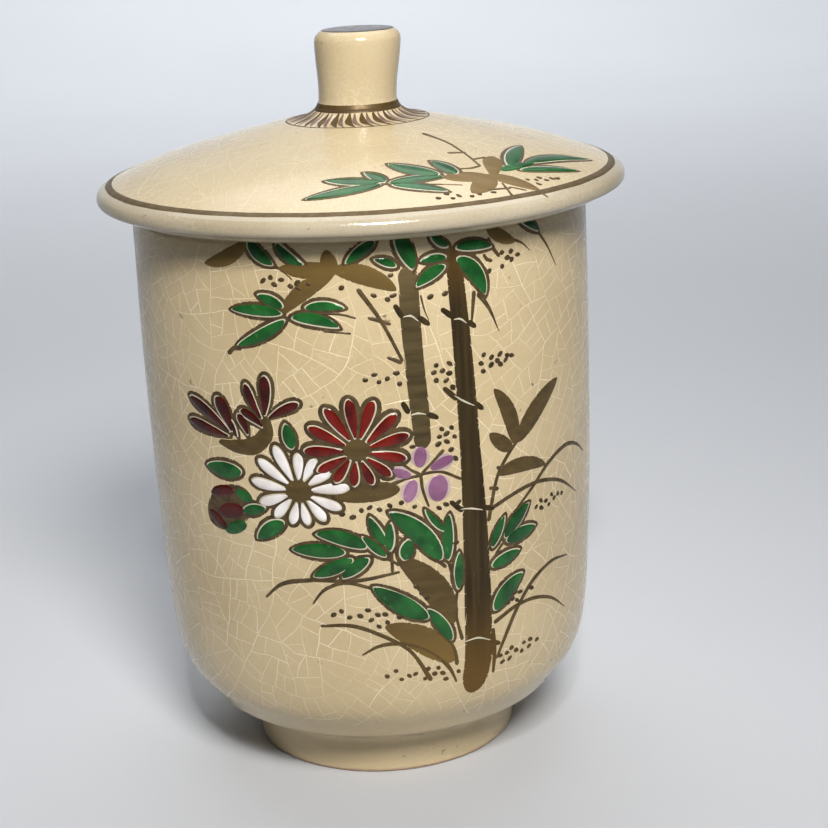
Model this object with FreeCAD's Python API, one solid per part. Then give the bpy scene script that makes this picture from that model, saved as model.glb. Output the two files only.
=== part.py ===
"""Lidded tea cup in crackle-glazed earthenware: a cup on a turned foot, and a domed lid with a knob.

The cup and the lid are fired separately. The lid's flange drops inside the cup's mouth, and its seat rests
on the cup's rim. The knob is formed apart and luted to the flat at the top of the lid's dome.
Origin: centre of the foot's resting face. +Z is up, and -Y is the painted front.
Each piece is one profile of (radius, height) points turned about Z. Millimetres.
"""

import os

import FreeCAD
import Part

# Driving dimensions of the cup
RIM_HEIGHT = 89.0           # top of the cup's rim, where the lid's seat rests
MOUTH_RADIUS = 35.0         # outside of the wall at the rim
BELLY_RADIUS = 35.2         # outside of the wall at its widest
BELLY_HEIGHT = 66.0
WALL = 2.9                  # thickness of the wall at the mouth
FOOT_RADIUS = 21.2          # outside of the foot ring at the table
FOOT_WALL = 3.4             # width of the foot ring
FOOT_RECESS = 5.0           # depth of the hollow inside the foot ring
FLOOR_THICKNESS = 4.6       # clay between the recess and the inside floor
HIP_RADIUS = 29.1           # the edge where the wall turns under to the foot
HIP_HEIGHT = 11.0

# Driving dimensions of the lid
LIP_RADIUS = 40.65          # outside of the lid's rolled lip
LIP_HEIGHT = 91.2           # height of the lip's widest point
LIP_ROLL = 1.35             # radius of the lip's rounded edge
KNOB_HEIGHT = 114.0         # top of the knob, and of the whole object
KNOB_RADIUS = 6.6           # widest part of the knob, just under its top
KNOB_NECK_RADIUS = 6.0
KNOB_TOP_RADIUS = 5.8
KNOB_FOOT_RADIUS = 11.4     # where the knob's flared base meets the dome
KNOB_FOOT_HEIGHT = 100.5
FLANGE_CLEARANCE = 0.8      # gap all round between the lid's flange and the cup's mouth
FLANGE_DEPTH = 4.6          # how far the flange reaches below the seat
FLANGE_WALL = 2.6


def v(radius, height):
    """A profile point: radius from the axis, and height above the table."""
    return FreeCAD.Vector(radius, 0, height)


def line(a, b):
    return Part.LineSegment(v(*a), v(*b)).toShape()


def arc(a, middle, b):
    return Part.Arc(v(*a), v(*middle), v(*b)).toShape()


def curve(points, start_tangent, end_tangent):
    """A smooth spline through points, leaving and arriving along the tangents."""
    spline = Part.BSplineCurve()
    spline.interpolate(
        Points=[v(*p) for p in points],
        InitialTangent=v(*start_tangent),
        FinalTangent=v(*end_tangent),
    )
    return spline.toShape()


def turned(edges):
    """The closed profile turned once about the vertical axis, as one solid."""
    face = Part.Face(Part.Wire(edges))
    solid = face.revolve(FreeCAD.Vector(0, 0, 0), FreeCAD.Vector(0, 0, 1), 360)
    if solid.Volume < 0:
        solid.reverse()
    return solid


def make_cup():
    """The cup: foot ring, undercut, rounded hip, upright wall, rounded rim and open inside."""
    edge = 0.7                                      # rounding of the foot ring's two edges
    undercut = (FOOT_RADIUS + 0.6, HIP_HEIGHT - 3.6)  # where the foot ring meets the belly's underside
    hip_roll = (HIP_RADIUS - 1.3, HIP_HEIGHT - 1.3)   # start of the small roll at the hip
    shoulder = (34.4, 31.0)                         # where the hip's curve becomes the upright wall
    recess_radius = FOOT_RADIUS - FOOT_WALL
    rim_middle = MOUTH_RADIUS - WALL / 2
    inner_mouth = MOUTH_RADIUS - WALL
    floor = FOOT_RECESS + FLOOR_THICKNESS
    bend = 14.0                                     # radius of the inside corner
    bend_x, bend_z = inner_mouth - 0.3 - bend, floor + bend
    diagonal = 0.7071

    edges = [
        line((0, FOOT_RECESS), (recess_radius - 1.5, FOOT_RECESS)),
        arc(
            (recess_radius - 1.5, FOOT_RECESS),
            (recess_radius - 1.5 * (1 - diagonal), FOOT_RECESS - 1.5 * (1 - diagonal)),
            (recess_radius, FOOT_RECESS - 1.5),
        ),
        line((recess_radius, FOOT_RECESS - 1.5), (recess_radius, edge)),
        arc(
            (recess_radius, edge),
            (recess_radius + edge * (1 - diagonal), edge * (1 - diagonal)),
            (recess_radius + edge, 0),
        ),
        line((recess_radius + edge, 0), (FOOT_RADIUS - edge, 0)),
        arc(
            (FOOT_RADIUS - edge, 0),
            (FOOT_RADIUS - edge * (1 - diagonal), edge * (1 - diagonal)),
            (FOOT_RADIUS, edge),
        ),
        line((FOOT_RADIUS, edge), (FOOT_RADIUS + 0.3, undercut[1] - 2.2)),
        curve(
            [(FOOT_RADIUS + 0.3, undercut[1] - 2.2), (undercut[0] + 1.0, undercut[1] - 0.5), hip_roll],
            (0.1, 1.0),
            (1.0, 0.35),
        ),
        curve(
            [hip_roll, (HIP_RADIUS, HIP_HEIGHT), (32.0, 14.9), (33.5, 19.8), shoulder],
            (1.0, 0.35),
            (0.05, 1.0),
        ),
        curve(
            [shoulder, (BELLY_RADIUS, BELLY_HEIGHT), (MOUTH_RADIUS, RIM_HEIGHT - WALL / 2)],
            (0.05, 1.0),
            (-0.02, 1.0),
        ),
        arc(
            (MOUTH_RADIUS, RIM_HEIGHT - WALL / 2),
            (rim_middle, RIM_HEIGHT),
            (inner_mouth, RIM_HEIGHT - WALL / 2),
        ),
        curve(
            [(inner_mouth, RIM_HEIGHT - WALL / 2), (inner_mouth, BELLY_HEIGHT), (inner_mouth - 0.3, bend_z)],
            (0.0, -1.0),
            (0.0, -1.0),
        ),
        arc(
            (inner_mouth - 0.3, bend_z),
            (bend_x + bend * diagonal, bend_z - bend * diagonal),
            (bend_x, floor),
        ),
        line((bend_x, floor), (0, floor)),
        line((0, floor), (0, FOOT_RECESS)),
    ]
    return turned(edges)


def make_lid():
    """The lid: a low dome with a flat for the knob, a rolled lip, a flat seat and a locating flange."""
    lip_bottom = LIP_HEIGHT - LIP_ROLL
    lip_top = LIP_HEIGHT + LIP_ROLL
    lip_centre = LIP_RADIUS - LIP_ROLL
    seat_outer = lip_centre - 1.4
    flange_outer = MOUTH_RADIUS - WALL - FLANGE_CLEARANCE
    flange_inner = flange_outer - FLANGE_WALL
    flange_bottom = RIM_HEIGHT - FLANGE_DEPTH
    flange_round = FLANGE_WALL / 2
    hollow_top = KNOB_FOOT_HEIGHT - 4.0             # underside of the dome at the axis

    edges = [
        line((0, KNOB_FOOT_HEIGHT), (KNOB_FOOT_RADIUS, KNOB_FOOT_HEIGHT)),
        curve(
            [(KNOB_FOOT_RADIUS, KNOB_FOOT_HEIGHT), (20.0, 98.5), (30.0, 95.95), (lip_centre, lip_top)],
            (1.0, -0.2),
            (1.0, -0.4),
        ),
        curve(
            [(lip_centre, lip_top), (LIP_RADIUS, LIP_HEIGHT), (lip_centre, lip_bottom)],
            (1.0, -0.4),
            (-1.0, 0.0),
        ),
        line((lip_centre, lip_bottom), (seat_outer, RIM_HEIGHT)),
        line((seat_outer, RIM_HEIGHT), (flange_outer, RIM_HEIGHT)),
        line((flange_outer, RIM_HEIGHT), (flange_outer, flange_bottom + flange_round)),
        arc(
            (flange_outer, flange_bottom + flange_round),
            (flange_outer - flange_round, flange_bottom),
            (flange_inner, flange_bottom + flange_round),
        ),
        line((flange_inner, flange_bottom + flange_round), (flange_inner, RIM_HEIGHT)),
        curve(
            [(flange_inner, RIM_HEIGHT), (25.5, 92.9), (15.0, 95.5), (0, hollow_top)],
            (0.0, 1.0),
            (-1.0, 0.0),
        ),
        line((0, hollow_top), (0, KNOB_FOOT_HEIGHT)),
    ]
    return turned(edges)


def make_knob():
    """The lid's knob: flat top, rounded shoulder, tapering sides, and a flared foot luted to the dome."""
    widest = (KNOB_RADIUS, KNOB_HEIGHT - 1.4)       # the shoulder's widest ring
    rounding = 0.35                                 # radius of the edge round the flat top
    edge_start = (KNOB_TOP_RADIUS - rounding, KNOB_HEIGHT)
    edge_end = (KNOB_TOP_RADIUS - rounding * 0.19, KNOB_HEIGHT - rounding * 0.41)
    neck = (KNOB_NECK_RADIUS, 104.2)

    edges = [
        line((0, KNOB_HEIGHT), edge_start),
        arc(edge_start, (KNOB_TOP_RADIUS - rounding * 0.56, KNOB_HEIGHT - rounding * 0.10), edge_end),
        arc(edge_end, (6.32, KNOB_HEIGHT - 0.65), widest),
        curve([widest, neck], (0.0, -1.0), (0.0, -1.0)),
        curve(
            [neck, (6.75, 102.1), (8.4, 101.15), (KNOB_FOOT_RADIUS, KNOB_FOOT_HEIGHT)],
            (0.0, -1.0),
            (1.0, -0.22),
        ),
        line((KNOB_FOOT_RADIUS, KNOB_FOOT_HEIGHT), (0, KNOB_FOOT_HEIGHT)),
        line((0, KNOB_FOOT_HEIGHT), (0, KNOB_HEIGHT)),
    ]
    return turned(edges)


def main():
    os.makedirs("parts", exist_ok=True)
    for name, shape in (("cup", make_cup()), ("lid", make_lid()), ("knob", make_knob())):
        box = shape.BoundBox
        print(name, "valid", shape.isValid(), "volume cm3", round(shape.Volume / 1000, 2),
              "height", round(box.ZMin, 2), round(box.ZMax, 2), "width", round(box.XLength, 2))
        shape.exportStep(f"parts/{name}.step")


main()
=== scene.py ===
"""Looks for the lidded tea cup: crackle glaze, raised enamel painting and gilding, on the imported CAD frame.

Painting is laid out in millimetres on the pot's own surface. On the cup a place is (across, height): across
is the distance round the wall from the middle of the front, positive to the right, and height is above the
table. On the lid a place is (x, y) as seen from straight above, with the front at negative y.
"""

import math
import random

import bpy
import numpy as np
from mathutils import Matrix, Vector


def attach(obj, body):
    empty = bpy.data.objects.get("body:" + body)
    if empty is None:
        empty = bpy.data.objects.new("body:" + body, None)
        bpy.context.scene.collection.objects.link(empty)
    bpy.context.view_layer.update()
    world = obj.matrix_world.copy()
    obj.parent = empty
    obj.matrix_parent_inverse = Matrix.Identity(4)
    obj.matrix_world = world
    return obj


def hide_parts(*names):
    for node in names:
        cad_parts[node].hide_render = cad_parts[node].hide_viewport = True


MM = 0.001

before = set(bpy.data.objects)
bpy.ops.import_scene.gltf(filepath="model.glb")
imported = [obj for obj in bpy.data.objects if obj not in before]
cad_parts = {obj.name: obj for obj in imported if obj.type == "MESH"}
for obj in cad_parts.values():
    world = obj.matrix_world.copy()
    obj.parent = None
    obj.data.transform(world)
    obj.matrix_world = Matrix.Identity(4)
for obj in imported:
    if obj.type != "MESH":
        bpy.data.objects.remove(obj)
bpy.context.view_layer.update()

# ------------------------ camera, floor and light

CAMERA_PLACE = Vector((0.0, -0.29281, 0.14127))
CAMERA_DOWN = math.radians(16.85)       # how far it looks below the horizon
CAMERA_TURN = math.radians(-1.36)       # a small turn to the right
CAMERA_ROLL = math.radians(-2.77)       # it is held slightly crooked
CAMERA_LENS = 82.6
COOL = (0.96, 0.98, 1.0)
SWEEP_START = 0.9       # metres behind the cup where the floor begins to curve up
SWEEP_RADIUS = 0.4


def place_in_scene(name, data):
    made = bpy.data.objects.new(name, data)
    bpy.context.scene.collection.objects.link(made)
    return made


def make_camera():
    data = bpy.data.cameras.new("camera")
    data.lens = CAMERA_LENS
    data.sensor_width = 36.0
    data.clip_start = 0.02
    camera = place_in_scene("camera", data)
    turn = Matrix.Rotation(CAMERA_TURN, 4, "Z")
    tilt = Matrix.Rotation(math.pi / 2 - CAMERA_DOWN, 4, "X")
    roll = Matrix.Rotation(CAMERA_ROLL, 4, "Z")
    camera.matrix_world = Matrix.Translation(CAMERA_PLACE) @ turn @ tilt @ roll
    bpy.context.scene.camera = camera


def soft_light(name, place, aim, size, power, colour=(1.0, 1.0, 1.0), spread=180):
    data = bpy.data.lights.new(name, "AREA")
    data.shape = "DISK"
    data.size = size
    data.spread = math.radians(spread)
    data.energy = power
    data.color = colour
    light = place_in_scene(name, data)
    light.location = place
    direction = Vector(aim) - Vector(place)
    light.rotation_euler = direction.to_track_quat("-Z", "Y").to_euler()


def make_floor():
    """A pale sweep: flat under the cup, then curving up into a wall behind it."""
    curve = [(-2.0, 0.0), (SWEEP_START, 0.0)]
    curve += [(SWEEP_START + SWEEP_RADIUS * math.sin(a), SWEEP_RADIUS - SWEEP_RADIUS * math.cos(a))
              for a in np.linspace(0.2, math.pi / 2, 9)]
    curve.append((SWEEP_START + SWEEP_RADIUS, 2.0))
    corners = [(x, y, z) for y, z in curve for x in (-2.5, 2.5)]
    faces = [(2 * i, 2 * i + 1, 2 * i + 3, 2 * i + 2) for i in range(len(curve) - 1)]
    mesh = bpy.data.meshes.new("floor")
    mesh.from_pydata(corners, [], faces)
    mesh.shade_smooth()
    mesh.materials.append(floor_material())
    place_in_scene("floor", mesh)


def make_studio():
    """A dim pale sky and soft lights: two on the cup, and two on the floor and wall behind it."""
    world = bpy.data.worlds.new("studio")
    world.use_nodes = True
    sky = world.node_tree.nodes["Background"]
    sky.inputs["Color"].default_value = (0.72, 0.78, 0.90, 1.0)
    sky.inputs["Strength"].default_value = 0.08
    bpy.context.scene.world = world
    make_floor()
    soft_light("key", (0.07, -0.37, 0.365), (0.0, 0.0, 0.092), 0.14, 0.355, (1.0, 0.98, 0.95), spread=60)
    soft_light("spark", (0.0, -0.56, 0.62), (0.0, 0.0, 0.075), 0.04, 1.4)
    soft_light("above", (0.0, 0.90, 1.30), (0.0, 0.60, 0.0), 1.60, 9.0, COOL, spread=130)
    soft_light("backdrop", (0.0, 0.40, 1.30), (0.0, 1.20, 0.25), 0.60, 4.5, COOL, spread=85)
    bpy.context.scene.view_settings.view_transform = "Standard"


# ------------------------ materials


class Nodes:
    """Short names for building a node material."""

    def __init__(self, name):
        self.material = bpy.data.materials.new(name)
        self.material.use_nodes = True
        self.tree = self.material.node_tree
        self.shader = self.tree.nodes["Principled BSDF"]
        self.place = self.add("TexCoord", {}).outputs["Object"]

    def feed(self, socket, value):
        """Joins another node's output to the socket, or gives the socket a plain value or colour."""
        if hasattr(value, "links"):
            self.tree.links.new(value, socket)
        elif socket.type == "RGBA":
            socket.default_value = (*value, 1)
        else:
            socket.default_value = value

    def add(self, kind, inputs, **settings):
        """A new node, with its inputs fed by name or number."""
        node = self.tree.nodes.new("ShaderNode" + kind)
        for key, value in settings.items():
            setattr(node, key, value)
        for key, value in inputs.items():
            self.feed(node.inputs[key], value)
        return node

    def vector(self, operation, inputs):
        return self.add("VectorMath", inputs, operation=operation).outputs["Vector"]

    def stretched(self, scale):
        return self.add("Mapping", {"Vector": self.place, "Scale": scale}).outputs["Vector"]

    def noise(self, scale, detail=3.0, place=None, warp=0.0):
        inputs = {"Vector": place or self.place, "Scale": scale, "Detail": detail, "Distortion": warp}
        return self.add("TexNoise", inputs).outputs["Fac"]

    def cracks(self, cell_mm, width_mm, warp_mm=0.5):
        """1 on hairlines between cells of about cell_mm, and 0 elsewhere."""
        bend = self.add("TexNoise", {"Vector": self.place, "Scale": 0.45 / (cell_mm * MM)}).outputs["Color"]
        centred = self.vector("SUBTRACT", {0: bend, 1: (0.5, 0.5, 0.5)})
        scaled = self.vector("SCALE", {0: centred, "Scale": 2.0 * warp_mm * MM})
        moved = self.vector("ADD", {0: self.place, 1: scaled})
        inputs = {"Vector": moved, "Scale": 1.0 / (cell_mm * MM)}
        edges = self.add("TexVoronoi", inputs, feature="DISTANCE_TO_EDGE").outputs["Distance"]
        return self.ramp(edges, [(0.0, 1.0), (width_mm / cell_mm, 0.0)])

    def ramp(self, value, stops):
        """stops are (position, grey level)."""
        node = self.add("ValToRGB", {"Fac": value})
        points = node.color_ramp.elements
        while len(points) < len(stops):
            points.new(0.5)
        for point, (at, level) in zip(points, stops):
            point.position = at
            point.color = (level, level, level, 1)
        return node.outputs["Color"]

    def mix(self, amount, a, b, kind="MIX"):
        inputs = {"Factor": amount, "A": a, "B": b}
        return self.add("Mix", inputs, data_type="RGBA", blend_type=kind).outputs["Result"]

    def scale(self, value, factor):
        return self.add("Math", {0: value, 1: factor}, operation="MULTIPLY").outputs["Value"]

    def height(self):
        """The place's height above the table, in metres."""
        return self.add("SeparateXYZ", {"Vector": self.place}).outputs["Z"]

    def finish(self, colour, roughness, bump, depth_mm, coat=0.0, metallic=0.0, specular=0.5):
        """Feeds the shader, with bump as relief of the given depth, and gives the finished material."""
        relief = self.add("Bump", {"Strength": 1.0, "Distance": depth_mm * MM, "Height": bump})
        inputs = {"Base Color": colour, "Roughness": roughness, "Coat Weight": coat, "Coat Roughness": 0.08,
                  "Metallic": metallic, "Specular IOR Level": specular, "Normal": relief.outputs["Normal"]}
        for name, value in inputs.items():
            self.feed(self.shader.inputs[name], value)
        return self.material


def glaze(name, clay, light_patch, dark_patch, line, crack_mm, crack_strength):
    """Glossy crackled glaze over clay: cloudy colour, hairline cracks, pinholes and a soft orange-peel."""
    n = Nodes(name)
    clouds = n.noise(38, 4)
    colour = n.mix(n.ramp(clouds, [(0.35, 0.0), (0.68, 1.0)]), dark_patch, light_patch)
    colour = n.mix(n.ramp(n.noise(9, 2), [(0.4, 0.0), (0.6, 0.45)]), colour, clay)
    hairs = n.cracks(crack_mm, 0.07)
    patchy = n.mix(1.0, hairs, n.ramp(n.noise(60, 2), [(0.35, 0.15), (0.6, 1.0)]), "MULTIPLY")
    colour = n.mix(n.scale(patchy, crack_strength), colour, line)
    specks = n.ramp(n.noise(900, 1), [(0.70, 0.0), (0.76, 1.0)])
    rare = n.mix(1.0, specks, n.ramp(n.noise(140, 1), [(0.60, 0.0), (0.66, 0.8)]), "MULTIPLY")
    colour = n.mix(rare, colour, (0.16, 0.11, 0.06))
    relief = n.mix(0.35, n.noise(320, 2), patchy)
    rough = n.ramp(clouds, [(0.3, 0.13), (0.7, 0.20)])
    return n.finish(colour, rough, relief, 0.03, coat=0.08, specular=0.42)


def crack_line_material(name, pale, warm):
    """The glaze drawn up pale along a crack."""
    n = Nodes(name)
    colour = n.mix(n.ramp(n.noise(120, 3), [(0.35, 0.0), (0.65, 1.0)]), warm, pale)
    return n.finish(colour, 0.28, n.noise(900, 2), 0.01, coat=0.1)


def bare_clay_material():
    n = Nodes("bare_clay")
    grain = n.noise(700, 6)
    colour = n.mix(grain, (0.32, 0.21, 0.12), (0.55, 0.41, 0.27))
    iron = n.ramp(n.noise(260, 2), [(0.62, 0.0), (0.70, 0.7)])
    colour = n.mix(iron, colour, (0.12, 0.06, 0.03))
    return n.finish(colour, n.ramp(grain, [(0.3, 0.70), (0.7, 0.88)]), grain, 0.06)


EVEN = (1.0, 1.0, 1.0)  # a streak scale that gives plain grain, with no brushed direction


def gilding(name, dark, light, glow, streak=EVEN, gloss=0.36):
    """Brown-gold lustre, brushed on in streaks and worn thin in places, and warmer at some heights."""
    n = Nodes(name)
    streaks = n.noise(900, 5, n.stretched(streak))
    colour = n.mix(n.ramp(streaks, [(0.36, 0.0), (0.66, 1.0)]), dark, light)
    warm = n.ramp(n.height(), [(0.020, 1.0), (0.034, 0.0), (0.078, 0.0), (0.084, 0.55)])
    colour = n.mix(warm, colour, glow)
    grains = n.ramp(n.noise(1800, 2), [(0.70, 0.0), (0.80, 0.35)])
    colour = n.mix(grains, colour, (0.36, 0.28, 0.14))
    rough = n.ramp(streaks, [(0.3, gloss + 0.12), (0.7, gloss)])
    return n.finish(colour, rough, streaks, 0.04, metallic=0.35, specular=0.3)


def enamel(name, deep, bright, pale):
    """Thick glassy enamel: deeper colour in pools, paler brush marks, and a glossy skin."""
    n = Nodes(name)
    pools = n.noise(260, 4, warp=0.4)
    colour = n.mix(n.ramp(pools, [(0.34, 0.0), (0.66, 1.0)]), deep, bright)
    thin = n.ramp(n.noise(702, 3), [(0.62, 0.0), (0.80, 0.5)])
    colour = n.mix(thin, colour, pale)
    return n.finish(colour, n.ramp(pools, [(0.3, 0.12), (0.7, 0.22)]), pools, 0.04, coat=0.05, specular=0.35)


def floor_material():
    n = Nodes("floor_paint")
    colour = n.mix(n.noise(6, 4), (0.50, 0.512, 0.535), (0.55, 0.562, 0.585))
    return n.finish(colour, 0.75, n.noise(90, 4), 0.2)


# ------------------------ the pot's own surfaces


def outline(node):
    """The node's profile: (radius, height) points in mm, in order along its seam from the axis and back."""
    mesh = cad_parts[node].data
    places = np.array([v.co for v in mesh.vertices]) / MM
    seam = np.nonzero((np.abs(places[:, 1]) < 1e-3) & (places[:, 0] > -1e-3))[0]
    key = {i: (round(float(places[i, 0]), 3), round(float(places[i, 2]), 3)) for i in seam}
    links = {}
    for edge in mesh.edges:
        a, b = (key.get(i) for i in edge.vertices)
        if a and b and a != b:
            links.setdefault(a, set()).add(b)
            links.setdefault(b, set()).add(a)
    ends = [p for p in links if len(links[p]) == 1]
    chain = [max(ends, key=lambda p: p[1])]
    while len(chain) == 1 or chain[-1] not in ends:
        chain.append(next(p for p in links[chain[-1]] if len(chain) == 1 or p != chain[-2]))
    for flat, spot in ((chain[0], 0), (chain[-1], len(chain) + 1)):
        if flat[0] > 0:
            chain.insert(spot, (0.0, flat[1]))
    return np.array(chain)


def smooth_path(points, spacing):
    """A smooth curve through the points, with a point about every spacing."""
    p = np.asarray(points, float)
    length = np.linalg.norm(np.diff(p, axis=0), axis=1)
    slope = np.diff(p, axis=0) / length[:, None]
    before, after = length[:-1, None], length[1:, None]
    middle = (slope[:-1] * after + slope[1:] * before) / (before + after)
    tangent = np.vstack([slope[:1], middle, slope[-1:]])
    made = []
    for i, h in enumerate(length):
        count = max(1, int(round(h / spacing)))
        t = np.arange(count)[:, None] / count
        start = (2 * t**3 - 3 * t**2 + 1) * p[i] + (t**3 - 2 * t**2 + t) * h * tangent[i]
        made.append(start + (3 * t**2 - 2 * t**3) * p[i + 1] + (t**3 - t**2) * h * tangent[i + 1])
    return np.vstack(made + [p[-1:]])


def refined(chain, spacing=0.5, corner=math.radians(24)):
    """The profile with its curves made finer and its corners kept."""
    steps = np.diff(chain, axis=0)
    headings = np.arctan2(steps[:, 1], steps[:, 0])
    turns = np.abs((np.diff(headings) + math.pi) % (2 * math.pi) - math.pi)
    corners = [0] + [i + 1 for i, turn in enumerate(turns) if turn > corner] + [len(chain) - 1]
    parts = [smooth_path(chain[a:b + 1], spacing)[:-1] for a, b in zip(corners, corners[1:])]
    return np.vstack(parts + [chain[-1:]])


class Turned:
    """A turned surface. A place on it is (angle from the front, k): k is the radius or the height in mm."""

    def __init__(self, profile, along, settle):
        order = np.argsort(profile[:, along])
        self.profile = profile[order]
        self.k = self.profile[:, along]
        self.settle = settle
        slope = np.gradient(self.profile, axis=0)
        normal = np.stack([slope[:, 1], -slope[:, 0]], axis=1)
        outward = np.sign(normal[:, 1 - along].mean())
        self.normal = outward * normal / np.maximum(np.linalg.norm(normal, axis=1), 1e-9)[:, None]

    def at(self, angle, k, lift):
        """Places in mm for arrays of angle, k and height above the glaze."""
        r, z = (np.interp(k, self.k, self.profile[:, i]) for i in (0, 1))
        nr, nz = (np.interp(k, self.k, self.normal[:, i]) for i in (0, 1))
        r = r + lift * nr
        z = z + lift * nz
        return self.settle(np.stack([r * np.sin(angle), -r * np.cos(angle), z], axis=-1))

    def laid(self, places, lift):
        """The same for an array of (angle, k) pairs."""
        return self.at(places[..., 0], places[..., 1], lift)


def cup_hand(p):
    """The thrower's hand: the wall is very slightly out of round."""
    angle = np.arctan2(p[..., 0], -p[..., 1])
    r = np.hypot(p[..., 0], p[..., 1])
    z = p[..., 2]
    fade = np.clip((z - 8) / 12, 0, 1) * np.clip((r - 25) / 6, 0, 1)
    swell = 0.05 * np.sin(2 * angle + 0.6 + z / 31) + 0.025 * np.sin(5 * angle - z / 7.0)
    factor = 1 + fade * swell / np.maximum(r, 1e-6)
    return np.stack([p[..., 0] * factor, p[..., 1] * factor, z], axis=-1)


LID_SHIFT = 0.5         # mm to the right that the lid sits off the cup's axis
LID_TILT = 0.006        # how much its front edge rides up, per mm
LID_SEAT = 89.2         # the tilt begins above this height, so that the seat stays on the rim
KNOB_LEAN = 0.05        # how far the knob leans to the right, per mm of height
KNOB_FOOT = 100.5       # the height where the knob stands on the dome
FLARE_TOP = 104.0       # the knob's foot flares out below this height
FOOT_RADIUS = 19.5      # the cup's outside is all farther out than this, in mm
BARE_HEIGHT = 0.75      # the foot ring is bare clay below this height
LIP_RADIUS = 38.9       # the paler lip glaze starts here on top of the lid,
LIP_TOP = 91.0          # and below this height it reaches in
LIP_INNER = 30.0        # to here on the lid's underside


def lid_hand(p):
    """The lid sits a little off centre and not quite level, and its knob leans."""
    x, y, z = (p[..., i] for i in range(3))
    up = np.clip((z - LID_SEAT) / 1.5, 0, 1)
    lean = KNOB_LEAN * np.clip(z - KNOB_FOOT, 0, None)
    return np.stack([x + LID_SHIFT + lean, y, z - up * LID_TILT * y], axis=-1)


cup_profile, lid_profile, knob_profile = (refined(outline(node)) for node in ("cup", "lid", "knob"))
CUP_FRONT = 35.0        # mm of wall for each radian round the cup
RIM = float(cup_profile[:, 1].max())


def outer_wall():
    """The cup's outside, from just above the table to the rim."""
    top = int(np.argmax(cup_profile[:, 1]))
    lowest = int(np.argmin(cup_profile[:, 1]))
    part = cup_profile[min(top, lowest):max(top, lowest) + 1]
    outside = part[part[:, 0] > FOOT_RADIUS]
    keep = np.concatenate([[True], np.abs(np.diff(outside[:, 1])) > 1e-6])
    return outside[keep]


def dome_top():
    """The lid's upper side, from the knob to the lip's widest point."""
    return lid_profile[:int(np.argmax(lid_profile[:, 0])) + 1]


def knob_flare():
    """The knob's side from its widest point, where it meets the dome, up to its waist."""
    heights = knob_profile[:, 1]
    side = knob_profile[(heights > KNOB_FOOT + 0.02) & (heights < FLARE_TOP)]
    return np.vstack([side, (float(knob_profile[:, 0].max()), KNOB_FOOT)])


def knob_stem():
    """The knob's side between its foot and its top edge."""
    radii, heights = knob_profile.T
    return knob_profile[(heights > 101.5) & (heights < 112.0) & (radii > 5.0)]


wall = Turned(outer_wall(), 1, cup_hand)
dome = Turned(dome_top(), 0, lid_hand)
flare = Turned(knob_flare(), 0, lid_hand)
stem = Turned(knob_stem(), 1, lid_hand)


def on_cup(places, lift):
    return wall.at(places[..., 0] / CUP_FRONT, places[..., 1], lift)


def on_lid(places, lift):
    angle = np.arctan2(places[..., 0], -places[..., 1])
    return dome.at(angle, np.hypot(places[..., 0], places[..., 1]), lift)


def show(name, vertices_mm, faces, material, body, slot):
    """A finished piece in the given material that rides on a body. The slot argument is not used."""
    mesh = bpy.data.meshes.new(name)
    mesh.from_pydata((np.asarray(vertices_mm) * MM).tolist(), [], faces)
    mesh.materials.append(material)
    mesh.validate()
    mesh.shade_smooth()
    mesh.set_sharp_from_angle(angle=math.radians(38))
    piece = place_in_scene(name, mesh)
    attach(piece, body)
    return piece


def turn_profile(profile, settle, segments):
    """Vertices and faces of the closed profile turned about the axis, with one vertex for a point on it."""
    angles = [2 * math.pi * i / segments for i in range(segments)]
    vertices, rings = [], []
    for r, z in profile:
        ring = angles if r > 0 else angles[:1]
        rings.append([len(vertices) + i % len(ring) for i in range(segments)])
        vertices += [(r * math.sin(angle), 0.0 - r * math.cos(angle), z) for angle in ring]
    faces = [list(dict.fromkeys((a[i - 1], b[i - 1], b[i], a[i])))
             for a, b in zip(rings, rings[1:]) for i in (*range(1, segments), 0)]
    return settle(np.array(vertices)), faces


def make_pots():
    """The cup, lid and knob: fine closed meshes on the CAD outlines."""
    cup_glaze = glaze("cup_glaze", (0.50, 0.392, 0.225), (0.56, 0.452, 0.278), (0.45, 0.348, 0.195),
                      (0.70, 0.60, 0.42), 1.6, 0.25)
    lid_glaze = glaze("lid_glaze", (0.475, 0.382, 0.230), (0.520, 0.425, 0.265), (0.425, 0.335, 0.195),
                      (0.64, 0.55, 0.38), 0.7, 0.40)
    knob_glaze = glaze("knob_glaze", (0.51, 0.413, 0.255), (0.555, 0.460, 0.290), (0.45, 0.353, 0.210),
                       (0.74, 0.65, 0.46), 1.1, 0.4)
    for node, profile, settle, body, segments, coat in (
        ("cup", cup_profile, cup_hand, "cup", 192, cup_glaze),
        ("lid", lid_profile, lid_hand, "lid", 256, lid_glaze),
        ("knob", knob_profile, lid_hand, "lid", 128, knob_glaze),
    ):
        piece = show(f"{node}_glazed", *turn_profile(profile, settle, segments), coat, body, f"{node}_glaze")
        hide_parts(node)
        if node == "cup":
            bare_foot(piece)
        if node == "lid":
            pale_lip(piece)


def bare_foot(cup):
    """The glaze is wiped off the foot ring where it stands."""
    cup.data.materials.append(bare_clay_material())
    for face in cup.data.polygons:
        if face.center.z < BARE_HEIGHT * MM:
            face.material_index = 1


def pale_lip(lid):
    """The rolled lip is a paler cream than the dome."""
    lid.data.materials.append(glaze("lip_glaze", (0.39, 0.335, 0.240), (0.43, 0.375, 0.275),
                                    (0.33, 0.275, 0.185), (0.60, 0.53, 0.40), 0.8, 0.3))
    for face in lid.data.polygons:
        c = face.center
        r = math.hypot(c.x - LID_SHIFT * MM, c.y) / MM
        if r > LIP_RADIUS or (c.z < LIP_TOP * MM and r > LIP_INNER):
            face.material_index = 1


# ------------------------ brushwork


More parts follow.
